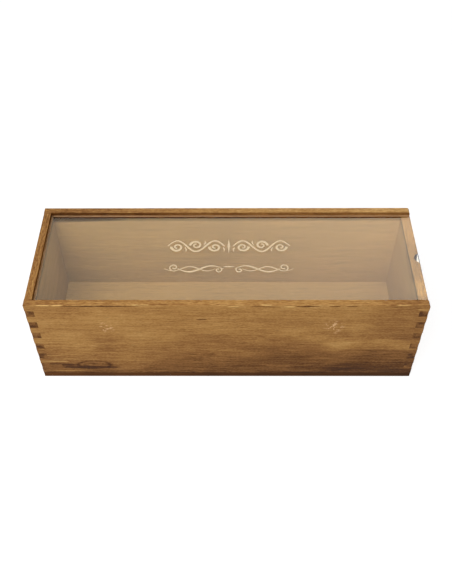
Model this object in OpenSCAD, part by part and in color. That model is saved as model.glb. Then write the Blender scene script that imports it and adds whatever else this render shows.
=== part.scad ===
// Wooden box for one bottle, with finger-jointed corners and a clear lid
// that slides out of its grooves at the right-hand end.
// X runs along the box, Y from front to back, and Z up from the underside.

/* [Box] */
// Length over the two end boards
box_l = 350; // [280:1:450]
// Width over the front and back boards
box_w = 122; // [90:1:200]
// Height of the walls above the bottom panel
wall_h = 100; // [80:1:160]
// Thickness of the front and back boards
side_t = 7.5; // [6:0.5:12]
// Thickness of the two end boards
end_t = 8; // [6:0.5:12]
// Thickness of the bottom panel
bottom_t = 6; // [4:0.5:12]

/* [Corner joints] */
// Fingers and gaps down one corner, an odd number
finger_count = 13; // [7:2:17]
// Glue line above and below each finger
glue_gap = 0.05; // [0:0.05:0.2]
// Rounding of the wall corners beside the lid's way out
corner_r = 2.5; // [0.5:0.5:3]

/* [Lid] */
// Thickness of the lid
lid_t = 3; // [2:0.5:5]
// Height of the wood left standing above the groove
lip_h = 3.5; // [2:0.5:8]
// How far the wood above the groove stands back from the walls' inner faces
lip_set_back = 1.25; // [0.5:0.25:2]
// Depth of the groove in the boards
groove_d = 4; // [3:0.25:5]
// Clearance above and below the lid in its groove
lid_gap_z = 0.15; // [0.1:0.05:0.5]
// Clearance between the lid's edges and the bottom of the groove
lid_gap_side = 0.3; // [0.1:0.05:1]
// Rounding of the lid's four corners
lid_corner_r = 1; // [0.5:0.25:3]

/* [Thumb notch] */
// Width of the notch along the top of the right end board
notch_w = 11; // [8:0.5:20]
// Depth of the notch into the right end board at its top
notch_d = 3; // [2:0.25:4]
// Lean of the notch's wall, outwards as it goes down
notch_lean = 28; // [15:1:45]

/* [Brads] */
// Diameter of a brad's shank
brad_d = 1.4; // [1:0.1:2]
// Length of a brad with its head
brad_l = 20; // [12:1:30]
// Diameter of a brad's head
brad_head_d = 2.2; // [2.1:0.1:4]
// Thickness of a brad's head
brad_head_t = 0.6; // [0.4:0.1:1.5]
// Clearance around a brad in its hole
brad_gap = 0.05; // [0.02:0.01:0.1]
// Brads along each long side of the bottom panel
brads_per_side = 5; // [2:1:9]
// Brads along each end of the bottom panel
brads_per_end = 2; // [2:1:5]
// Distance from a corner of the box to the nearest brad
brad_inset = 25; // [16:1:40]

/* [Hidden] */

cut = 1;
box_h = bottom_t + wall_h;
inner_l = box_l - 2 * end_t;
inner_w = box_w - 2 * side_t;
finger_h = wall_h / finger_count;

groove_h = lid_t + 2 * lid_gap_z;
groove_top_z = box_h - lip_h;
groove_floor_z = groove_top_z - groove_h;
// The groove stops inside the left corners and runs out at the right end
groove_start_x = -inner_l / 2 - groove_d;

lid_x0 = groove_start_x + lid_gap_side;
lid_l = box_l / 2 - lid_x0;
lid_w = inner_w + 2 * groove_d - 2 * lid_gap_side;

notch_r = (pow(notch_w / 2, 2) + pow(notch_d, 2)) / (2 * notch_d);

brad_tip_l = 2 * brad_d;
brad_hole_h = brad_l + 2 * brad_gap;

// Centres of the brads, midway through the board that each one holds
brad_side_step = (box_l - 2 * brad_inset) / (brads_per_side - 1);
brad_end_step = (box_w - 2 * brad_inset) / (brads_per_end - 1);
side_brads = [for (side = [-1, 1]) for (i = [0:brads_per_side - 1])
    [-box_l / 2 + brad_inset + i * brad_side_step, side * (box_w - side_t) / 2]];
end_brads = [for (side = [-1, 1]) for (i = [0:brads_per_end - 1])
    [side * (box_l - end_t) / 2, -box_w / 2 + brad_inset + i * brad_end_step]];
brad_points = concat(side_brads, end_brads);

stain = "#9a6c3c";
stain_dark = "#7a4d2a";
clear_sheet = [0.86, 0.86, 0.84, 0.35];
steel = "#b4b1aa";

// A bar centred on x and y that stands from z0 to z1
module bar(length, width, z0, z1) {
    translate([-length / 2, -width / 2, z0])
        cube([length, width, z1 - z0]);
}

// Holes for the shanks and heads of every brad
module brad_holes() {
    for (p = brad_points)
        translate([p[0], p[1], 0]) {
            translate([0, 0, -cut])
                cylinder(d = brad_head_d + 2 * brad_gap, h = cut + brad_head_t + brad_gap, $fn = 32);
            cylinder(d = brad_d + 2 * brad_gap, h = brad_hole_h, $fn = 32);
        }
}

// Slots at both ends of a long board, for the fingers of the end boards
module finger_slots() {
    for (side = [-1, 1])
        for (i = [1:2:finger_count - 2])
            translate([side * (box_l - end_t) / 2 - (end_t + cut) / 2 + side * cut / 2,
                       -side_t,
                       box_h - (i + 1) * finger_h])
                cube([end_t + cut, 2 * side_t, finger_h]);
}

// Fingers of an end board, from the front face of the box to its back face
module end_fingers() {
    for (i = [1:2:finger_count - 2])
        bar(end_t, box_w,
            box_h - (i + 1) * finger_h + glue_gap,
            box_h - i * finger_h - glue_gap);
}

// What is sanded off the top corner at a long board's right end
module corner_waste() {
    r = min(corner_r, lip_h - 0.5);
    difference() {
        translate([box_l / 2 - r, -side_t, box_h - r])
            cube([r + cut, 2 * side_t, r + cut]);
        translate([box_l / 2 - r, 0, box_h - r])
            rotate([90, 0, 0])
                cylinder(r = r, h = 4 * side_t, center = true, $fn = 48);
    }
}

// A cut that reaches this far into the front, back and left boards, from the floor of
// the groove up to top_z, and runs out at the right end
module channel(reach, top_z) {
    x0 = -inner_l / 2 - reach;
    width = inner_w + 2 * reach;
    translate([x0, -width / 2, groove_floor_z])
        cube([box_l / 2 + cut - x0, width, top_z - groove_floor_z]);
}

// The lid's groove and the opening above it between the lips
module lid_channel() {
    channel(groove_d, groove_top_z);
    channel(lip_set_back, box_h + cut);
}

// A long board: side is -1 at the front and 1 at the back
module long_board(side) {
    difference() {
        translate([0, side * (box_w - side_t) / 2, 0])
            difference() {
                bar(box_l, side_t, bottom_t, box_h);
                finger_slots();
                corner_waste();
            }
        lid_channel();
        brad_holes();
    }
}

// An end board before its top is worked: side is -1 at the left and 1 at the right
module end_board(side) {
    difference() {
        translate([side * (box_l - end_t) / 2, 0, 0]) {
            bar(end_t, inner_w, bottom_t, box_h);
            end_fingers();
        }
        brad_holes();
    }
}

module bottom_panel() {
    color(stain_dark)
        difference() {
            bar(box_l, box_w, 0, bottom_t);
            brad_holes();
        }
}

module front_board() {
    color(stain) long_board(-1);
}

module back_board() {
    color(stain) long_board(1);
}

// Full height, with the groove that takes the lid's left edge
module left_end_board() {
    color(stain)
        difference() {
            end_board(-1);
            lid_channel();
        }
}

// Cut down to the groove's floor so that the lid slides over it, with a leaning
// half-round notch that lets a fingertip under the lid's edge
module right_end_board() {
    color(stain)
        difference() {
            end_board(1);
            bar(2 * box_l, 2 * box_w, groove_floor_z, box_h + cut);
            translate([box_l / 2 - notch_d + notch_r, 0, groove_floor_z])
                rotate([0, -notch_lean, 0])
                    cylinder(r = notch_r, h = 4 * notch_r, center = true, $fn = 96);
        }
}

// Small flat-headed nails driven up through the bottom panel into the walls
module bottom_brads() {
    color(steel)
        for (p = brad_points)
            translate([p[0], p[1], 0]) {
                cylinder(d = brad_head_d, h = brad_head_t, $fn = 32);
                cylinder(d = brad_d, h = brad_l - brad_tip_l, $fn = 32);
                translate([0, 0, brad_l - brad_tip_l])
                    cylinder(d1 = brad_d, d2 = brad_d / 8, h = brad_tip_l, $fn = 32);
            }
}

// Flat sheet, flush with the right end of the box when shut
module sliding_lid() {
    r = lid_corner_r;
    color(clear_sheet)
        translate([lid_x0, -lid_w / 2, groove_floor_z + lid_gap_z])
            linear_extrude(lid_t) {
                translate([r, 0]) square([lid_l - 2 * r, lid_w]);
                translate([0, r]) square([lid_l, lid_w - 2 * r]);
                for (x = [r, lid_l - r])
                    for (y = [r, lid_w - r])
                        translate([x, y]) circle(r = r, $fn = 32);
            }
}

bottom_panel();
front_board();
back_board();
left_end_board();
right_end_board();
bottom_brads();
sliding_lid();
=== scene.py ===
import math

import bmesh
import bpy
from mathutils import Matrix, Vector


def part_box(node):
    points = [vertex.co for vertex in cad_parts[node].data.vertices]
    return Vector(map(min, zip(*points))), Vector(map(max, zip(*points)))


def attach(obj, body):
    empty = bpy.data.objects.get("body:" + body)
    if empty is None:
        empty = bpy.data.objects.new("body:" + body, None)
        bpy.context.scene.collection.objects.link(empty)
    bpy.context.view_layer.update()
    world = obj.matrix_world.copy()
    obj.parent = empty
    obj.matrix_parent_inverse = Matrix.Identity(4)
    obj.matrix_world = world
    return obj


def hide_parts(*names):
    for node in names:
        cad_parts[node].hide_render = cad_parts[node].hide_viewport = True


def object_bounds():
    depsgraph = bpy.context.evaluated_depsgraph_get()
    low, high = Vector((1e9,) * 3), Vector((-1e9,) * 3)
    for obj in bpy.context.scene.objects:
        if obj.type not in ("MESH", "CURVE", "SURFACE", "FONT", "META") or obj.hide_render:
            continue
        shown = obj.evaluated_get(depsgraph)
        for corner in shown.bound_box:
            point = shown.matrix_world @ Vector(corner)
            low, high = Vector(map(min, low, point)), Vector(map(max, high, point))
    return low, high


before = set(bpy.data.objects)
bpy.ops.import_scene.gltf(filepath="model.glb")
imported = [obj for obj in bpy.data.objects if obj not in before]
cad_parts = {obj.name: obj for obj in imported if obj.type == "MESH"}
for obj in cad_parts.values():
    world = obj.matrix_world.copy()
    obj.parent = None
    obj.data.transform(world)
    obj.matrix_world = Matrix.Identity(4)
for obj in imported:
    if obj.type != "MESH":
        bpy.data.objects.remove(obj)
cad_low, cad_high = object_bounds()

# Bottom panel
# A three-ply sheet under the four walls, flush with them all round and held by brads.
# It is stained darker than the boards, because the open edges of the plies drink the stain.

MM = 0.001
panel_low, panel_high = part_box("bottom_panel")
panel_arris = 0.5 * MM
side_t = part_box("front_board")[1].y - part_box("front_board")[0].y
end_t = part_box("left_end_board")[1].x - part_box("left_end_board")[0].x
groove_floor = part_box("right_end_board")[1].z
brad_hole_r = 1.15 * MM
brad_hole_depth = 0.65 * MM
brad_inset = 25 * MM
brads_per_side, brads_per_end = 5, 2
lying = (math.radians(90), 0, 0)
upright = (0, 0, 0)
crosswise = (0, 0, math.radians(90))


def linear(hex_colour):
    """An sRGB hex colour as linear red, green, blue and alpha."""
    parts = [int(hex_colour[i:i + 2], 16) / 255 for i in (1, 3, 5)]
    return [p / 12.92 if p <= 0.04045 else ((p + 0.055) / 1.055) ** 2.4 for p in parts] + [1]


def add(tree, kind, inputs=None, stops=(), **settings):
    """Adds a node with its settings. An input is a value, a socket, or a node whose first
    working output feeds it; stops are a colour ramp's places and colours."""
    made = tree.nodes.new(kind)
    for name, value in settings.items():
        setattr(made, name, value)
    for name, value in (inputs or {}).items():
        if isinstance(value, bpy.types.Node):
            value = next(socket for socket in value.outputs if socket.enabled)
        if isinstance(value, bpy.types.NodeSocket):
            tree.links.new(value, made.inputs[name])
        else:
            made.inputs[name].default_value = value
    for i, (at, colour) in enumerate(stops):
        stop = made.color_ramp.elements[i] if i < 2 else made.color_ramp.elements.new(at)
        stop.position = at
        stop.color = linear(colour)
    return made


def empty_material(name):
    """A material without nodes, and its node tree."""
    material = bpy.data.materials.new(name)
    material.use_nodes = True
    material.node_tree.nodes.clear()
    return material, material.node_tree


def block(low, high):
    """A bmesh of the box between two corners."""
    mesh = bmesh.new()
    bmesh.ops.create_cube(mesh, size=1)
    bmesh.ops.scale(mesh, vec=Vector(high) - Vector(low), verts=mesh.verts)
    bmesh.ops.translate(mesh, vec=(Vector(low) + Vector(high)) / 2, verts=mesh.verts)
    return mesh


def finished(name, mesh, materials):
    """An object that holds the bmesh, with its materials in slot order."""
    data = bpy.data.meshes.new(name)
    mesh.to_mesh(data)
    mesh.free()
    for material in materials:
        data.materials.append(material)
    piece = bpy.data.objects.new(name, data)
    bpy.context.scene.collection.objects.link(piece)
    return piece


def cut_away(mesh, cutters):
    """The bmesh with the cutters' volume taken out of it."""
    blank = finished("blank", mesh, [])
    joined = bpy.data.meshes.new("cutters")
    whole = bmesh.new()
    for cutter in cutters:
        cutter.to_mesh(joined)
        cutter.free()
        whole.from_mesh(joined)
    saw = finished("saw", whole, [])
    cut = blank.modifiers.new("cut", "BOOLEAN")
    cut.object = saw
    cut.operation = "DIFFERENCE"
    cut.solver = "EXACT"
    cut.use_self = True
    evaluated = blank.evaluated_get(bpy.context.evaluated_depsgraph_get())
    result = bmesh.new()
    result.from_mesh(evaluated.to_mesh())
    evaluated.to_mesh_clear()
    bpy.data.objects.remove(blank)
    bpy.data.objects.remove(saw)
    bmesh.ops.dissolve_limit(result, angle_limit=0.01, verts=result.verts, edges=result.edges)
    return result


def along_edges(mesh, planes, reach=0.02 * MM):
    """The edges of a piece that lie on two of these planes, each an axis and a place."""
    found = []
    for edge in mesh.edges:
        on = [axis for axis, place in planes
              if all(abs(vert.co[axis] - place) < reach for vert in edge.verts)]
        if len(on) == 2:
            found.append(edge)
    return found


def eased(mesh, slot, radius=0.7 * MM):
    """Rounds the outer arrises as sandpaper does, in a slot of their own."""
    planes = [(axis, place) for axis in range(3) for place in (cad_low[axis], cad_high[axis])]
    planes.append((2, panel_high.z))
    bmesh.ops.bevel(mesh, geom=along_edges(mesh, planes), offset=radius, offset_type="OFFSET",
                    segments=3, profile=0.5, affect="EDGES", clamp_overlap=True, material=slot)


def streaks(tree, grain, length, thick, wide, detail=2.0, rough=0.6):
    """Noise with its grains this long, thick (through the board) and wide, in mm."""
    squeezed = add(tree, "ShaderNodeMapping",
                   {"Vector": grain, "Scale": (1 / length, 1 / thick, 1 / wide)})
    return add(tree, "ShaderNodeTexNoise",
               {"Vector": squeezed, "Scale": 1.0, "Detail": detail, "Roughness": rough})


def knots_and_marks(tree, board, knots, marks):
    """The grain, pushed apart by each knot, and the depths of resin and of bare wood. A
    knot has a dark ring. A mark is resin, or bare wood where its depth is negative."""
    torn = add(tree, "ShaderNodeVectorMath", {0: streaks(tree, board, 14, 2.0, 2.0), 1: (0, 0, 2.0)},
               operation="MULTIPLY")
    torn = add(tree, "ShaderNodeVectorMath", {0: board, 1: torn}, operation="ADD")
    torn = add(tree, "ShaderNodeVectorMath", {0: torn, 1: (0, 0, -1.0)}, operation="ADD")
    grain = board
    resin = bare_wood = 0.0
    for at, half_size, depth in knots + marks:
        local = add(tree, "ShaderNodeMapping", {"Vector": torn, "Location": at, "Scale": half_size},
                    vector_type="TEXTURE")
        away = add(tree, "ShaderNodeVectorMath", {0: local}, operation="LENGTH")
        inside = add(tree, "ShaderNodeMapRange",
                     {"Value": away, "From Min": 1.15, "From Max": 0.85, "To Max": depth},
                     interpolation_type="SMOOTHSTEP")
        if (at, half_size, depth) in knots:
            ring = add(tree, "ShaderNodeMapRange",
                       {"Value": away, "From Min": 0.7, "From Max": 0.95, "To Min": 0.1},
                       interpolation_type="SMOOTHSTEP")
            inside = add(tree, "ShaderNodeMath", {0: inside, 1: ring}, operation="MULTIPLY")
            spread = add(tree, "ShaderNodeVectorMath", {0: local, 1: local}, operation="DOT_PRODUCT")
            spread = add(tree, "ShaderNodeMath", {0: spread, 1: 1.0}, operation="ADD")
            push = add(tree, "ShaderNodeVectorMath", {0: local, 1: (0, 0, 0.9 * half_size[2])},
                       operation="MULTIPLY")
            push = add(tree, "ShaderNodeVectorMath", {0: push, 1: spread}, operation="DIVIDE")
            grain = add(tree, "ShaderNodeVectorMath", {0: grain, 1: push}, operation="SUBTRACT")
        if depth > 0:
            resin = add(tree, "ShaderNodeMath", {0: resin, 1: inside}, operation="MAXIMUM")
        else:
            bare_wood = add(tree, "ShaderNodeMath", {0: bare_wood, 1: inside}, operation="MINIMUM")
    return grain, resin, bare_wood


def heartwood(tree, tone, board, blotch, long_fibre, heart):
    """The tone, darkened from the top height down to the bottom one, by one depth at the
    left and another at the right."""
    place = add(tree, "ShaderNodeSeparateXYZ", {0: board}).outputs
    edge = add(tree, "ShaderNodeMath", {0: blotch, 1: 30.0, 2: -15.0}, operation="MULTIPLY_ADD")
    edge = add(tree, "ShaderNodeMath", {0: edge, 1: place["Z"]}, operation="ADD")
    low = add(tree, "ShaderNodeMapRange",
              {"Value": edge, "From Min": heart["top"], "From Max": heart["bottom"]},
              interpolation_type="SMOOTHSTEP")
    depth = add(tree, "ShaderNodeMapRange",
                {"Value": place["X"], "From Min": heart["left"], "From Max": heart["right"],
                 "To Min": heart["depths"][0], "To Max": heart["depths"][1]},
                interpolation_type="SMOOTHSTEP")
    darker = add(tree, "ShaderNodeMath", {0: low, 1: depth}, operation="MULTIPLY")
    tone = add(tree, "ShaderNodeMath", {0: tone, 1: darker}, operation="SUBTRACT")
    # Above the darkened part the long fibres show less
    calm = add(tree, "ShaderNodeMath", {0: low, 1: 0.26, 2: -0.26}, operation="MULTIPLY_ADD")
    swing = add(tree, "ShaderNodeMath", {0: long_fibre, 1: 0.5}, operation="SUBTRACT")
    return add(tree, "ShaderNodeMath", {0: swing, 1: calm, 2: tone}, operation="MULTIPLY_ADD")


def taken_up(tree, tone, cut, grain, in_mm, resin, thin, faded_rail):
    """The tone after this cut of the wood has taken up the stain, and how much of the
    pale wood shows through it."""
    place = add(tree, "ShaderNodeSeparateXYZ", {0: in_mm}).outputs
    ledge = groove_floor / MM
    bare = 0.0
    if cut in ("end", "sawn"):
        # Open pores drink more of the stain, here and there less than their neighbours
        tone = add(tree, "ShaderNodeMath", {0: tone, 1: 0.5 if cut == "end" else 0.6},
                   operation="MULTIPLY")
        uneven = 0.15 if cut == "end" else 0.03
        patch = add(tree, "ShaderNodeMapRange",
                    {"Value": streaks(tree, grain, 8, 8, 8, 1.0), "From Min": 0.35, "From Max": 0.65,
                     "To Min": -uneven, "To Max": uneven})
        tone = add(tree, "ShaderNodeMath", {0: tone, 1: patch}, operation="ADD")
    if cut == "sawn":
        # Below the ledge, on its chamfers and on the thumb notch's wall, the sawn wood is darkened as
        # painted shade, and the lid has worn the ledge itself
        shade_below_ledge = add(tree, "ShaderNodeMath", {0: place["Z"], 1: ledge - 0.02}, operation="LESS_THAN")
        worn = add(tree, "ShaderNodeMath", {0: place["Z"], 1: ledge, 2: 0.02}, operation="COMPARE")
        tone = add(tree, "ShaderNodeMath", {0: shade_below_ledge, 1: -0.3, 2: tone}, operation="MULTIPLY_ADD")
        tone = add(tree, "ShaderNodeMath", {0: worn, 1: 0.03, 2: tone}, operation="MULTIPLY_ADD")
        bare = add(tree, "ShaderNodeMath", {0: worn, 1: 0.5}, operation="MULTIPLY")
    if cut == "inside":
        # Stain was wiped on thin, and the top of the inner wall just under the ledge is darkened as
        # painted shade, where less pale wood shows
        shade_under_ledge = add(tree, "ShaderNodeMapRange",
                   {"Value": place["Z"], "From Min": ledge - 5.2, "From Max": ledge - 2.8,
                    "To Max": 0.38})
        tone = add(tree, "ShaderNodeMath", {0: tone, 1: shade_under_ledge}, operation="SUBTRACT")
        bare = add(tree, "ShaderNodeMath", {0: shade_under_ledge, 1: -0.3, 2: 0.5}, operation="MULTIPLY_ADD")
        bare = add(tree, "ShaderNodeMath", {0: resin, 1: -1.1, 2: bare}, operation="MULTIPLY_ADD")
    if cut == "rail":
        # The top edges were cut across the rings, so short specks of dark and light show,
        #         and the rail grows lighter from left to right
        bare = thin
        speck = add(tree, "ShaderNodeMapRange",
                    {"Value": streaks(tree, grain, 5, 1.0, 1.0, 1.0), "From Min": 0.3, "From Max": 0.7,
                     "To Min": -0.17, "To Max": 0.06})
        tone = add(tree, "ShaderNodeMath", {0: tone, 1: speck}, operation="ADD")
        faded = add(tree, "ShaderNodeMapRange",
                    {"Value": place["X"], "From Min": cad_low.x / MM, "From Max": cad_high.x / MM,
                     "To Min": faded_rail[0], "To Max": faded_rail[1]})
        tone = add(tree, "ShaderNodeMath", {0: tone, 1: faded}, operation="ADD")
    if cut == "arris":
        # The stain is rubbed off the top arrises and gathers at the others
        top = add(tree, "ShaderNodeMapRange", {"Value": place["Z"], "From Min": 90.0, "From Max": 100.0})
        rubbed = add(tree, "ShaderNodeMapRange",
                     {"Value": streaks(tree, grain, 16, 0.8, 0.8, 3.0), "From Min": 0.4,
                      "From Max": 0.65, "To Max": 0.4})
        rubbed = add(tree, "ShaderNodeMath", {0: rubbed, 1: top}, operation="MULTIPLY")
        tone = add(tree, "ShaderNodeMath", {0: tone, 1: rubbed}, operation="ADD")
        tone = add(tree, "ShaderNodeMath", {0: tone, 1: 0.2}, operation="SUBTRACT")
    return tone, bare


def stained_pine(name, turn=upright, shift=(0, 0, 0), cut="face", heart=None, knots=(), marks=(),
                 flecks=(), darker=0.0, thin=0.0, faded_rail=(0.0, 0.0)):
    """Pine under a brown water stain, planed and sanded. Soft early wood drinks the stain,
    so the eye sees fine streaks along the grain, dark pores and broad darker patches, with a
    graded darkening that on the front is partly painted shade. turn and shift lay the grain
    along the board, and the darkening, knots, marks and flecks are placed after them, in mm.
    cut is face, end, sawn, inside, arris or rail."""
    material, tree = empty_material(name)
    here = add(tree, "ShaderNodeTexCoord").outputs["Object"]
    in_mm = add(tree, "ShaderNodeVectorMath", {0: here, "Scale": 1 / MM}, operation="SCALE")
    board = add(tree, "ShaderNodeMapping", {"Vector": in_mm, "Rotation": turn, "Location": shift})
    grain, resin, bare_wood = knots_and_marks(tree, board, knots, marks)
    drift = add(tree, "ShaderNodeVectorMath", {0: streaks(tree, grain, 140, 60, 45, 1.0), 1: (0, 5, 9)},
                operation="MULTIPLY")
    grain = add(tree, "ShaderNodeVectorMath", {0: grain, 1: drift}, operation="ADD")

    # Long fibres, short fibres and sanding grit; growth rings, bands and blotches of stain
    long_fibre = streaks(tree, grain, 45, 1.0, 1.0)
    short_fibre = streaks(tree, grain, 9, 0.9, 0.9)
    grit = streaks(tree, grain, 2.2, 1, 1)
    fine = add(tree, "ShaderNodeCombineXYZ", {0: long_fibre, 1: short_fibre, 2: grit})
    fine = add(tree, "ShaderNodeVectorMath", {0: fine, 1: (0.6, 0.36, 0.38)}, operation="DOT_PRODUCT")
    rings = streaks(tree, grain, 150, 1.3, 20)
    bands = streaks(tree, grain, 200, 7, 7)
    blotch = streaks(tree, grain, 60, 30, 26)
    broad = add(tree, "ShaderNodeCombineXYZ", {0: rings, 1: bands, 2: blotch})
    broad = add(tree, "ShaderNodeVectorMath", {0: broad, 1: (0.21, 0.1, 0.26)}, operation="DOT_PRODUCT")
    tone = add(tree, "ShaderNodeMath", {0: fine, 1: broad}, operation="ADD")
    for shade in (0.34 + darker, resin, bare_wood):
        tone = add(tree, "ShaderNodeMath", {0: tone, 1: shade}, operation="SUBTRACT")
    if heart:
        tone = heartwood(tree, tone, board, blotch, long_fibre, heart)
    tone, bare = taken_up(tree, tone, cut, grain, in_mm, resin, thin, faded_rail)

    colour = add(tree, "ShaderNodeValToRGB", {"Fac": tone},
                 stops=((0.0, "#2a1103"), (1.0, "#e6bc74"), (0.2, "#583209"), (0.45, "#916333"),
                        (0.62, "#b08146"), (0.85, "#cca061")))
    # The wood is pinker on the worn ledge than where it shows through thin stain
    pale = linear("#cbae92" if cut == "sawn" else "#c8b986")
    colour = add(tree, "ShaderNodeMix", {"Factor": bare, "A": colour, "B": pale}, data_type="RGBA")
    pore = add(tree, "ShaderNodeMapRange",
               {"Value": streaks(tree, grain, 10, 0.6, 0.6), "From Min": 0.37, "From Max": 0.27,
                "To Max": 0.5})
    colour = add(tree, "ShaderNodeMix", {"Factor": pore, "A": colour, "B": linear("#3a2110")},
                 data_type="RGBA")
    for at, radius in flecks:
        close = add(tree, "ShaderNodeVectorMath", {0: board, 1: at}, operation="DISTANCE")
        close = add(tree, "ShaderNodeMapRange",
                    {"Value": close, "From Min": radius, "From Max": radius / 3})
        chips = add(tree, "ShaderNodeMapRange",
                    {"Value": streaks(tree, grain, 3, 3, 2.2, 1.0), "From Min": 0.54, "From Max": 0.66})
        chips = add(tree, "ShaderNodeMath", {0: close, 1: chips}, operation="MULTIPLY")
        colour = add(tree, "ShaderNodeMix", {"Factor": chips, "A": colour, "B": linear("#e0b482")},
                     data_type="RGBA")
    relief = add(tree, "ShaderNodeMath", {0: fine, 1: pore}, operation="SUBTRACT")
    bump = add(tree, "ShaderNodeBump", {"Height": relief, "Strength": 0.5, "Distance": 0.12 * MM})
    rough = add(tree, "ShaderNodeMapRange",
                {"Value": fine, "From Min": 0.4, "From Max": 0.9, "To Min": 0.7, "To Max": 0.5})
    # Sawn across the fibres, as in the thumb notch, the wood is too rough to shine
    shine = 0.0 if cut == "sawn" and turn == crosswise else 0.2
    surface = add(tree, "ShaderNodeBsdfPrincipled",
                  {"Base Color": colour, "Roughness": rough, "Normal": bump, "IOR": 1.45,
                   "Specular IOR Level": shine})
    add(tree, "ShaderNodeOutputMaterial", {"Surface": surface})
    return material


def stained_ply_edge(name):
    """The sawn edge of three-ply sheet under the same stain. The outer plies show long
    fibres, the upper one a little redder, and the middle ply's end grain is darker. The
    joint under the walls is darkest, and the edge is darker to the right."""
    material, tree = empty_material(name)
    here = add(tree, "ShaderNodeTexCoord").outputs["Object"]
    in_mm = add(tree, "ShaderNodeVectorMath", {0: here, "Scale": 1 / MM}, operation="SCALE")
    long_grain = add(tree, "ShaderNodeMapping", {"Vector": in_mm, "Scale": (1 / 30, 1 / 30, 1 / 0.8)})
    fibre = add(tree, "ShaderNodeTexNoise", {"Vector": long_grain, "Scale": 1.0, "Detail": 3.0})
    blotch = add(tree, "ShaderNodeTexNoise", {"Vector": in_mm, "Scale": 1 / 40, "Detail": 2.0})
    place = add(tree, "ShaderNodeSeparateXYZ", {0: in_mm}).outputs
    wavy = add(tree, "ShaderNodeMath", {0: fibre, 1: 0.9, 2: -0.45}, operation="MULTIPLY_ADD")
    height = add(tree, "ShaderNodeMath", {0: place["Z"], 1: wavy}, operation="ADD")
    level = add(tree, "ShaderNodeMapRange", {"Value": height, "From Max": panel_high.z / MM})
    plies = add(tree, "ShaderNodeValToRGB", {"Fac": level},
                stops=((0.0, "#5c3a19"), (1.0, "#351f0a"), (0.3, "#6c451c"), (0.38, "#523112"),
                       (0.62, "#4e2c10"), (0.7, "#603918"), (0.88, "#563114")))
    shade = add(tree, "ShaderNodeMapRange",
                {"Value": place["X"], "From Min": cad_low.x / MM, "From Max": cad_high.x / MM,
                 "To Min": 1.3, "To Max": 0.6})
    mottle = add(tree, "ShaderNodeMapRange",
                 {"Value": blotch, "From Min": 0.3, "From Max": 0.7, "To Min": 0.7, "To Max": 1.3})
    shade = add(tree, "ShaderNodeMath", {0: shade, 1: mottle}, operation="MULTIPLY")
    colour = add(tree, "ShaderNodeVectorMath", {0: plies, "Scale": shade}, operation="SCALE")
    bump = add(tree, "ShaderNodeBump", {"Height": fibre, "Strength": 0.6, "Distance": 0.2 * MM})
    surface = add(tree, "ShaderNodeBsdfPrincipled",
                  {"Base Color": colour, "Roughness": 0.75, "Normal": bump, "IOR": 1.45,
                   "Specular IOR Level": 0.15})
    add(tree, "ShaderNodeOutputMaterial", {"Surface": surface})
    return material


def brad_places():
    """Centres of the brads on the underside, midway through the board above each."""
    places = []
    half_l, half_w = cad_high.x - brad_inset, cad_high.y - brad_inset
    for side in (-1, 1):
        for i in range(brads_per_side):
            places.append((half_l * (2 * i / (brads_per_side - 1) - 1), side * (cad_high.y - side_t / 2)))
        for i in range(brads_per_end):
            places.append((side * (cad_high.x - end_t / 2), half_w * (2 * i / (brads_per_end - 1) - 1)))
    return places


panel = block(panel_low, panel_high)
heads = []
for x, y in brad_places():
    head = bmesh.new()
    bmesh.ops.create_cone(head, cap_ends=True, segments=24, radius1=brad_hole_r, radius2=brad_hole_r,
                          depth=2 * brad_hole_depth, matrix=Matrix.Translation((x, y, 0)))
    heads.append(head)
panel = cut_away(panel, heads)
panel.normal_update()
# Slot 0 is the upper face, slot 1 the sawn edge and slot 2 the underside
sawn_edge = 1
for face in panel.faces:
    face.material_index = sawn_edge - round(face.normal.z)
eased(panel, sawn_edge, panel_arris)
bottom = finished("stained_bottom_panel", panel,
                  [stained_pine("stained_ply_inside", lying, shift=(11, 3, 0), cut="inside"),
                   stained_ply_edge("stained_ply_edge"),
                   stained_pine("stained_ply_underside", lying, shift=(11, 3, 0), darker=0.06)])
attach(bottom, "case")
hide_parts("bottom_panel")

# Front and back boards
# Planed pine with the grain along the box. Every second finger is sawn away at both
# ends, and a groove for the lid runs out at the right-hand end.

fingers = 13
wall_low, wall_high = panel_high.z, cad_high.z
finger_h = (wall_high - wall_low) / fingers
lid_low, lid_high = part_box("sliding_lid")
groove_top = lid_high.z + (lid_low.z - groove_floor)
groove_reach = 0.3 * MM
groove_x = lid_low.x - groove_reach
groove_y = lid_high.y + groove_reach
lip_set_back = 1.25 * MM
ledge_chamfer = 1.05 * MM
joint_chamfer = 0.8 * MM
corner_r = 2.5 * MM
over = 2 * MM
near = 0.1 * MM
cuts = ("face", "end", "sawn", "inside", "arris", "rail")


def finger_gaps(which, lows, highs):
    """Blocks that saw every second finger away, from the first or the second one down,
    between the given corners at each end of a board."""
    gaps = []
    for i in range(which, fingers, 2):
        top = wall_high - i * finger_h + (over if i == 0 else 0)
        foot = wall_high - (i + 1) * finger_h - (over if i == fingers - 1 else 0)
        for low, high in zip(lows, highs):
            gaps.append(block((*low, foot), (*high, top)))
    return gaps


def lid_channel():
    """The groove that the lid runs in and, above it, the opening between the lips. Both
    run out at the right-hand end."""
    lip_x, lip_y = cad_high.x - end_t + lip_set_back, cad_high.y - side_t + lip_set_back
    return [block((groove_x, -groove_y, groove_floor), (cad_high.x + over, groove_y, groove_top)),
            block((-lip_x, -lip_y, groove_floor), (cad_high.x + over, lip_y, wall_high + over))]


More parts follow.
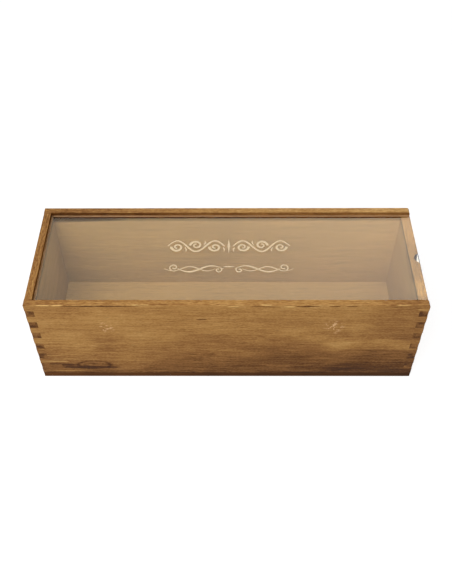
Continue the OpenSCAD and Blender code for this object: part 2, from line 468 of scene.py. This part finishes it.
def ledge_chamfers():
    """Bars that take the arris off the ledges of the two long boards."""
    inner_x, inner_y = cad_high.x - end_t, cad_high.y - side_t
    half = ledge_chamfer / math.sqrt(2)
    bars = []
    for y in (-inner_y, inner_y):
        bar = block((-inner_x, -half, -half), (inner_x, half, half))
        bmesh.ops.rotate(bar, cent=(0, 0, 0), matrix=Matrix.Rotation(math.radians(45), 3, "X"),
                         verts=bar.verts)
        bmesh.ops.translate(bar, vec=(0, y, groove_floor), verts=bar.verts)
        bars.append(bar)
    return bars


def rounded_corner(y):
    """What is sanded off the top corner beside the lid's way out."""
    corner = block((cad_high.x - corner_r, y - side_t, wall_high - corner_r),
                   (cad_high.x + over, y + side_t, wall_high + over))
    keep = bmesh.new()
    bmesh.ops.create_cone(keep, cap_ends=True, segments=64, radius1=corner_r, radius2=corner_r,
                          depth=4 * side_t,
                          matrix=Matrix.Translation((cad_high.x - corner_r, y, wall_high - corner_r))
                          @ Matrix.Rotation(math.radians(90), 4, "X"))
    return cut_away(corner, [keep])


def cut_of(face, along):
    """How the wood was cut at a face of a board that runs along X or Y: across the grain,
    sawn for the groove, ledge or notch, inside the box, on the rail round the lid, or planed."""
    middle = face.calc_center_bounds()
    lean = abs(face.normal.z)
    if 0.6 < lean < 0.8:
        return "sawn"
    if abs(face.normal["XY".index(along)]) > 0.9:
        return "end"
    if max(abs(n) for n in face.normal) <= 0.99:
        return "rail" if along == "X" else "sawn"
    if lean < 0.9 and all(abs(abs(middle[i]) - cad_high[i]) >= near for i in range(2)):
        return "sawn" if middle.z > groove_floor else "inside"
    if abs(middle.z - groove_floor) < near:
        on_right_end = middle.x > cad_high.x - end_t and abs(middle.y) < cad_high.y - side_t
        return "rail" if on_right_end else "sawn"
    return "rail" if middle.z > wall_high - near else "face"


def sort_faces(mesh, along):
    """Puts each face of a board in the slot of its cut."""
    mesh.normal_update()
    for face in mesh.faces:
        face.material_index = cuts.index(cut_of(face, along))


def long_board(name, side, materials):
    """A front or back board; side is -1 at the front and 1 at the back."""
    outer, inner = side * cad_high.y, side * (cad_high.y - side_t)
    low_y, high_y = min(outer, inner), max(outer, inner)
    board = block((cad_low.x, low_y, wall_low), (cad_high.x, high_y, wall_high))
    board = cut_away(board, [rounded_corner((outer + inner) / 2)])
    board = cut_away(board, lid_channel())
    board = cut_away(board, ledge_chamfers())
    board = cut_away(board, finger_gaps(
        1,
        [(cad_low.x - over, low_y - over), (cad_high.x - end_t, low_y - over)],
        [(cad_low.x + end_t, high_y + over), (cad_high.x + over, high_y + over)]))
    sort_faces(board, "X")
    ends = along_edges(board, [(2, groove_floor), (1, cad_low.y + side_t), (1, cad_high.y - side_t)])
    ends = [edge for edge in ends if edge.verts[0].co.x > 0]
    bmesh.ops.bevel(board, geom=ends, offset=joint_chamfer, offset_type="OFFSET", segments=1,
                    profile=0.5, affect="EDGES", clamp_overlap=True, material=cuts.index("sawn"))
    eased(board, cuts.index("arris"))
    return finished(name, board, materials)


def all_cuts(name, **pattern):
    """A board's finishes, in the order of its slots."""
    return [stained_pine(name + "_" + cut, cut=cut, **pattern) for cut in cuts]


def on_front(*marks):
    """Knots or marks right through the front board, from x, z, half length, half height
    and depth, as their middle and half sizes in mm and their depth."""
    return tuple(((x, board_middle, z), (half_length, right_through, half_height), depth)
                 for x, z, half_length, half_height, depth in marks)


board_middle, right_through = -57, 40
# The front grows darker towards the bottom, more so at the right: partly deeper stain, partly painted
# shade where less light reaches near the table
front_heart = {"top": 84, "bottom": 0, "left": -150, "right": 150, "depths": (0.22, 0.4)}
front_knots = on_front((-125, 19, 17, 6.4, 0.3))
resin_streaks = on_front((-128, 15, 27, 2.3, 0.29), (-149, 18.5, 7, 2.6, 0.22),
                         (-163, 28.9, 10, 0.7, 0.18), (-162, 20.8, 11, 1.4, 0.16),
                         (-22, 87, 5, 0.9, 0.3), (-34, 87.6, 6, 0.5, 0.12))
pale_streaks = on_front((-162, 24.4, 14, 0.9, -0.32), (-150, 28.3, 14, 0.7, -0.25),
                        (-150, 9.8, 26, 0.8, -0.2), (-162, 33.5, 12, 0.7, -0.2),
                        (-166, 43, 8, 0.8, -0.22))
uneven_stain = on_front((190, 84, 68, 34, 0.11), (150, 50, 60, 8, -0.13), (152, 12, 60, 14, 0.07),
                        (-150, 96, 34, 9, 0.05), (-146, 52, 28, 18, -0.1), (-55, 12, 45, 5, -0.05),
                        (0, 5.4, 900, 2.2, 0.1))
# The arris along the top of the front board has dark dashes, where torn grain and a painted shade in its
# chips darken it, and worn ones
dark_arris_and_chip_shade = (((-110, -61, 104.8), (34, 1.6, 0.6), 0.45), ((34, -60.6, 104.4), (13, 1.4, 0.5), 0.3),
              ((70, -60.6, 104.7), (11, 1.4, 0.7), 0.4), ((93, -60.6, 104.7), (5, 1.4, 0.6), 0.35),
              ((108, -60.6, 104.7), (5, 1.4, 0.6), 0.35), ((-158, -57, 106), (22, 10, 1.2), 0.1))
worn_arris = (((-101, -60.4, 105.9), (44, 0.7, 0.5), -0.05), ((6, -60.6, 104.3), (5, 1.4, 0.6), -0.4),
              ((35, -60.4, 105.9), (6, 0.8, 0.6), -0.3), ((54, -60.6, 104.3), (5, 1.4, 0.6), -0.3),
              ((152, -60.6, 105.6), (8, 0.8, 0.6), -0.3), ((-158, -60.8, 105.6), (7, 0.6, 0.5), -0.45),
              ((-146, -60.8, 105.6), (6, 0.6, 0.5), -0.45), ((-70, -60.4, 105.7), (14, 0.8, 0.4), -0.4),
              ((170, -57, 100), (6, 8, 2.4), -0.15))
front_marks = resin_streaks + pale_streaks + uneven_stain + dark_arris_and_chip_shade + worn_arris
# Two small places where the stain is chipped off, each a middle and a radius
front_flecks = (((-106, -61, 76), 9), ((95, -61, 76), 11))
front = long_board("stained_front_board", -1, all_cuts(
    "stained_pine_front", heart=front_heart, knots=front_knots, marks=front_marks,
    flecks=front_flecks, faded_rail=(0.0, 0.06)))

# The back board and its lip are darker at the left, and below its ledge there the inner wall has a
# painted shade
back_heart = {"top": 400, "bottom": 300, "left": 260, "right": 560, "depths": (0.16, 0.0)}
back_dark_lip_and_ledge_shade = (((290, 88, 174), (58, 1.6, 1.8), 0.12), ((220, 86, 167), (90, 3.5, 4), 0.25))
back = long_board("stained_back_board", 1, all_cuts(
    "stained_pine_back", shift=(410, 33, 70), heart=back_heart, marks=back_dark_lip_and_ledge_shade,
    faded_rail=(0.09, 0.18)))
for board, node in ((front, "front_board"), (back, "back_board")):
    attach(board, "case")
    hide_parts(node)

# End boards
# The same pine with the grain across the box, and the fingers that fill the gaps of
# the long boards. The right one is lower, for the lid, and has a thumb notch.

notch_w, notch_d, notch_lean = 11 * MM, 3 * MM, 28
notch_r = ((notch_w / 2) ** 2 + notch_d ** 2) / (2 * notch_d)


def end_board(name, side, cutters, materials):
    """An end board less its cutters; side is -1 at the left and 1 at the right."""
    outer, inner = side * cad_high.x, side * (cad_high.x - end_t)
    low_x, high_x = min(outer, inner), max(outer, inner)
    board = block((low_x, cad_low.y, wall_low), (high_x, cad_high.y, wall_high))
    board = cut_away(board, finger_gaps(
        0,
        [(low_x - over, cad_low.y - over), (low_x - over, cad_high.y - side_t)],
        [(high_x + over, cad_low.y + side_t), (high_x + over, cad_high.y + over)]))
    for cutter in cutters:
        board = cut_away(board, [cutter])
    sort_faces(board, "Y")
    eased(board, cuts.index("arris"))
    return finished(name, board, materials)


notch = bmesh.new()
bmesh.ops.create_cone(notch, cap_ends=True, segments=96, radius1=notch_r, radius2=notch_r,
                      depth=4 * notch_r,
                      matrix=Matrix.Translation((cad_high.x - notch_d + notch_r, 0, groove_floor))
                      @ Matrix.Rotation(math.radians(-notch_lean), 4, "Y"))
lowered = block((cad_high.x - end_t - over, cad_low.y - over, groove_floor),
                (cad_high.x + over, cad_high.y + over, wall_high + over))
# One finger has a pale end at the left front corner
left_marks = (((151, 79, 75), (8, 8, 6), -0.45),)
left_end = end_board("stained_left_end", -1, lid_channel(), all_cuts(
    "stained_pine_left", turn=crosswise, shift=(90, 250, 20), marks=left_marks, darker=0.06))
# The right end is darker round the notch, and paler on two fingers at the front corner
right_marks = (((-36, 301, 151), (24, 20, 12), 0.12), ((14, 301, 151), (9, 20, 12), 0.07),
               ((21, 301, 120), (8, 8, 5), -0.25), ((21, 301, 142), (9, 9, 16), -0.12))
right_end = end_board("stained_right_end", 1, [lowered, notch], all_cuts(
    "stained_pine_right", turn=crosswise, shift=(-40, 130, 52), marks=right_marks, darker=0.04,
    thin=0.25, faded_rail=(0.05, 0.05)))
for board, node in ((left_end, "left_end_board"), (right_end, "right_end_board")):
    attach(board, "case")
    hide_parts(node)

# Brads
# Bright steel wire nails with small flat heads, punched in flush with the underside.
# The CAD model's own solids are right and only take their metal here.


def drawn_steel(name):
    """Drawn low-carbon wire, slightly dull: grey metal with fine mottled roughness."""
    material, tree = empty_material(name)
    here = add(tree, "ShaderNodeTexCoord").outputs["Object"]
    mottle = add(tree, "ShaderNodeTexNoise", {"Vector": here, "Scale": 1 / (0.5 * MM), "Detail": 3.0})
    tint = add(tree, "ShaderNodeMix", {"Factor": mottle, "A": linear("#8f8b84"), "B": linear("#c2beb6")},
               data_type="RGBA")
    rough = add(tree, "ShaderNodeMapRange", {"Value": mottle, "To Min": 0.3, "To Max": 0.5})
    surface = add(tree, "ShaderNodeBsdfPrincipled",
                  {"Base Color": tint, "Metallic": 1.0, "Roughness": rough})
    add(tree, "ShaderNodeOutputMaterial", {"Surface": surface})
    return material


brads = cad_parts["bottom_brads"]
brads.data.materials.clear()
brads.data.materials.append(drawn_steel("drawn_steel_wire"))

# Sliding lid
# Clear cast acrylic, 3 mm thick, cut by laser, so its faces and its edges are both
# polished. It lies loose in the grooves and leaves at the right-hand end.

lid_corner_r = 1 * MM
lid_edge = 0.15 * MM


def clear_acrylic(name):
    """Cast acrylic, index 1.49: clear and faintly warm, with sharp mirror images on its
    faces. Lamps shine through it, as they do through thin sheet."""
    material, tree = empty_material(name)
    sheet = add(tree, "ShaderNodeBsdfPrincipled",
                {"Base Color": linear("#fbf6ea"), "Roughness": 0.0, "IOR": 1.49,
                 "Transmission Weight": 1.0})
    open_air = add(tree, "ShaderNodeBsdfTransparent", {"Color": linear("#f4ecdf")})
    ray = add(tree, "ShaderNodeLightPath").outputs["Is Shadow Ray"]
    surface = add(tree, "ShaderNodeMixShader", {0: ray, 1: sheet, 2: open_air})
    add(tree, "ShaderNodeOutputMaterial", {"Surface": surface})
    return material


slab = block(lid_low, lid_high)
corners = [e for e in slab.edges if abs(e.verts[0].co.z - e.verts[1].co.z) > lid_corner_r]
bmesh.ops.bevel(slab, geom=corners, offset=lid_corner_r, offset_type="OFFSET", segments=6,
                profile=0.5, affect="EDGES", clamp_overlap=True, material=-1)
rim = [e for e in slab.edges if e.calc_face_angle(0) > 1]
bmesh.ops.bevel(slab, geom=rim, offset=lid_edge, offset_type="OFFSET", segments=2,
                profile=0.5, affect="EDGES", clamp_overlap=True, material=-1)
lid = finished("acrylic_lid", slab, [clear_acrylic("cast_acrylic")])
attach(lid, "lid")
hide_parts("sliding_lid")

# Engraving
# A plain scroll ornament burnt into the lid's upper face by laser, which leaves the
# acrylic frosted and cream. A vine with curling shoots runs above a lighter flourish.

engraving_depth = 0.05 * MM
engraving_middle = 2 * MM
vine_y, vine_start, vine_rise, shoot_gap = 13.6, 4, 6.8, 17.5
flourish_y = -14.8


def frosted_acrylic(name):
    """The laser's rough floor in clear acrylic: it scatters light and hides most of what
    lies under it."""
    material, tree = empty_material(name)
    here = add(tree, "ShaderNodeTexCoord").outputs["Object"]
    grit = add(tree, "ShaderNodeTexNoise", {"Vector": here, "Scale": 1 / (0.8 * MM), "Detail": 2.0})
    tint = add(tree, "ShaderNodeMix", {"Factor": grit, "A": linear("#ead0a4"), "B": linear("#f7e2be")},
               data_type="RGBA")
    surface = add(tree, "ShaderNodeBsdfPrincipled",
                  {"Base Color": tint, "Roughness": 0.7, "IOR": 1.49, "Alpha": 0.85})
    add(tree, "ShaderNodeOutputMaterial", {"Surface": surface})
    return material


def scroll(centre, start, turns, radius, inward=0.2, steps=48):
    """Points of a spiral that winds in to a share of its radius."""
    points = []
    for i in range(steps + 1):
        t = i / steps
        angle = math.radians(start) + 2 * math.pi * turns * t
        r = radius * (1 - (1 - inward) * t)
        points.append((centre[0] + r * math.cos(angle), centre[1] + r * math.sin(angle)))
    return points


def wave(start, end, middle, rise, half_waves, steps=60):
    """Points of a sine line between two places along the lid."""
    points = []
    for i in range(steps + 1):
        t = i / steps
        points.append((start + (end - start) * t, middle + rise * math.sin(math.pi * half_waves * t)))
    return points


def stroke(curve, points, widths, side=1):
    """A pen stroke along points in mm, whose width runs through three values in mm."""
    first, belly, last = widths
    spline = curve.splines.new("POLY")
    spline.points.add(len(points) - 1)
    for i, (x, y) in enumerate(points):
        t = i / (len(points) - 1)
        spline.points[i].co = (side * x * MM, y * MM, 0, 1)
        spline.points[i].radius = (first * (1 - t) ** 2 + 2 * belly * t * (1 - t) + last * t ** 2) / 2


ornament = bpy.data.curves.new("lid_engraving", "CURVE")
ornament.dimensions = "3D"
ornament.bevel_depth = MM
ornament.bevel_resolution = 2
ornament.use_fill_caps = True
for side in (-1, 1):
    vine = wave(vine_start, vine_start + 3 * shoot_gap, vine_y, vine_rise, 3)
    stroke(ornament, vine, (1.4, 2.6, 1.0), side)
    for i in range(3):
        up = 1 - 2 * (i % 2)
        shoot = (vine_start + (i + 0.5) * shoot_gap, vine_y - 1.2 * up)
        stroke(ornament, scroll(shoot, 5 * up, -1.3 * up, 5.4), (2.6, 1.8, 1.4), side)
        x, y = vine_start + i * shoot_gap + 1.5, vine_y - 1.5 * up
        leaf = [(x, y), (x - 1.4, y - 2.6 * up), (x - 1.0, y - 5.6 * up)]
        stroke(ornament, leaf, (0.6, 2.8, 0.4), side)
    stroke(ornament, wave(5, 46, flourish_y, 3.6, 2), (0.5, 2.6, 0.9), side)
    stroke(ornament, wave(12, 58, flourish_y, -2.6, 3), (0.4, 1.8, 0.5), side)
    stroke(ornament, scroll((49.5, flourish_y + 1.6), 250, 1.25, 4.6), (0.9, 1.6, 1.0), side)
    stroke(ornament, scroll((9.5, flourish_y - 1.5), 100, 1.1, 3.6), (1.3, 1.3, 0.9), side)
stroke(ornament, [(0, vine_y - 8.5), (0, vine_y), (0, vine_y + 8.5)], (0.3, 5.0, 0.3))
stroke(ornament, [(x, flourish_y + 2.5) for x in (-5, 0, 5)], (0.3, 3.2, 0.3))
shape = bpy.data.objects.new("lid_engraving_curve", ornament)
bpy.context.scene.collection.objects.link(shape)
drawn = bmesh.new()
drawn.from_mesh(shape.evaluated_get(bpy.context.evaluated_depsgraph_get()).to_mesh())
bpy.data.objects.remove(shape)
for vert in drawn.verts:
    vert.co.z = math.copysign(engraving_depth / 2, vert.co.z) if abs(vert.co.z) > 0.01 * MM else 0
bmesh.ops.translate(drawn, vec=(engraving_middle, 0, lid_high.z), verts=drawn.verts)
engraving = finished("lid_engraving", drawn, [frosted_acrylic("frosted_acrylic")])
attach(engraving, "lid")

# Floor and light
# A white table under a soft overhead light. The table shows white and keeps a faint
# shadow, and the studio round it is plain, but brighter in mirror images on one side.

floor_span, floor_thickness, floor_gap = 3.0, 0.02, 0.0005
floor_lift = 0.79
ambient = 0.5
mirror_dim, mirror_bright = 0.55, 2.4
mirror_side = (0.75, 0.45, 0.48)
white = (1, 1, 1, 1)

white_table, table = empty_material("white_table")
path = add(table, "ShaderNodeLightPath").outputs
seen = add(table, "ShaderNodeMath", {0: path["Is Camera Ray"], 1: path["Is Glossy Ray"]},
           operation="MAXIMUM")
seen = add(table, "ShaderNodeMath", {0: seen, 1: path["Is Transmission Ray"]}, operation="MAXIMUM")
board_white = add(table, "ShaderNodeBsdfDiffuse", {"Color": linear("#a0a0a0")})
lift = add(table, "ShaderNodeMath", {0: seen, 1: floor_lift}, operation="MULTIPLY")
glow = add(table, "ShaderNodeEmission", {"Color": white, "Strength": lift})
both = add(table, "ShaderNodeAddShader", {0: board_white, 1: glow})
add(table, "ShaderNodeOutputMaterial", {"Surface": both})
floor_mesh = block((-floor_span, -floor_span, -floor_thickness), (floor_span, floor_span, -floor_gap))
floor = finished("floor", floor_mesh, [white_table])

world = bpy.data.worlds.new("studio")
bpy.context.scene.world = world
world.use_nodes = True
world.node_tree.nodes.clear()
sky = world.node_tree
path = add(sky, "ShaderNodeLightPath").outputs
toward = add(sky, "ShaderNodeTexCoord").outputs["Generated"]
upward = add(sky, "ShaderNodeSeparateXYZ", {0: toward}).outputs["Z"]
upward = add(sky, "ShaderNodeMath", {0: upward, 1: 0.0}, operation="GREATER_THAN")
bright_side = add(sky, "ShaderNodeVectorMath", {0: toward, 1: mirror_side}, operation="DOT_PRODUCT")
mirrored_sky = add(sky, "ShaderNodeMapRange",
                   {"Value": bright_side, "From Min": 0.3, "From Max": 0.95,
                    "To Min": mirror_dim, "To Max": mirror_bright}, interpolation_type="SMOOTHSTEP")
mirrored_sky = add(sky, "ShaderNodeMix", {"Factor": upward, "A": 1.0, "B": mirrored_sky})
strength = add(sky, "ShaderNodeMix", {"Factor": path["Is Glossy Ray"], "A": ambient, "B": mirrored_sky})
seen = add(sky, "ShaderNodeMath", {0: path["Is Camera Ray"], 1: path["Is Transmission Ray"]},
           operation="MAXIMUM")
strength = add(sky, "ShaderNodeMix", {"Factor": seen, "A": strength, "B": 1.0})
studio = add(sky, "ShaderNodeBackground", {"Color": white, "Strength": strength})
add(sky, "ShaderNodeOutputWorld", {"Surface": studio})

softbox = bpy.data.lights.new("softbox", "AREA")
softbox.size = 1.0
softbox.energy = 13.0
softbox_object = bpy.data.objects.new("softbox", softbox)
softbox_object.location = (-0.35, -0.9, 1.1)
softbox_object.rotation_euler = (-softbox_object.location).to_track_quat("-Z", "Y").to_euler()
bpy.context.scene.collection.objects.link(softbox_object)

# Camera
# A normal lens in front of the box and well above it, looking down at 49 degrees. It
# stands almost at the middle of the box's length and is hardly turned.

camera_place = Vector((3.7, -478.6, 605.6)) * MM
camera_tilt, camera_yaw, camera_roll = 49.09, 0.54, 0.43
camera = bpy.data.objects.new("camera", bpy.data.cameras.new("camera"))
camera.data.lens = 46.87
camera.data.clip_start = 0.01
aim = (Matrix.Rotation(math.radians(camera_yaw), 4, "Z")
       @ Matrix.Rotation(math.radians(90 - camera_tilt), 4, "X")
       @ Matrix.Rotation(math.radians(-camera_roll), 4, "Z"))
camera.matrix_world = Matrix.Translation(camera_place) @ aim
bpy.context.scene.collection.objects.link(camera)
bpy.context.scene.camera = camera
bpy.context.scene.view_settings.view_transform = "Standard"
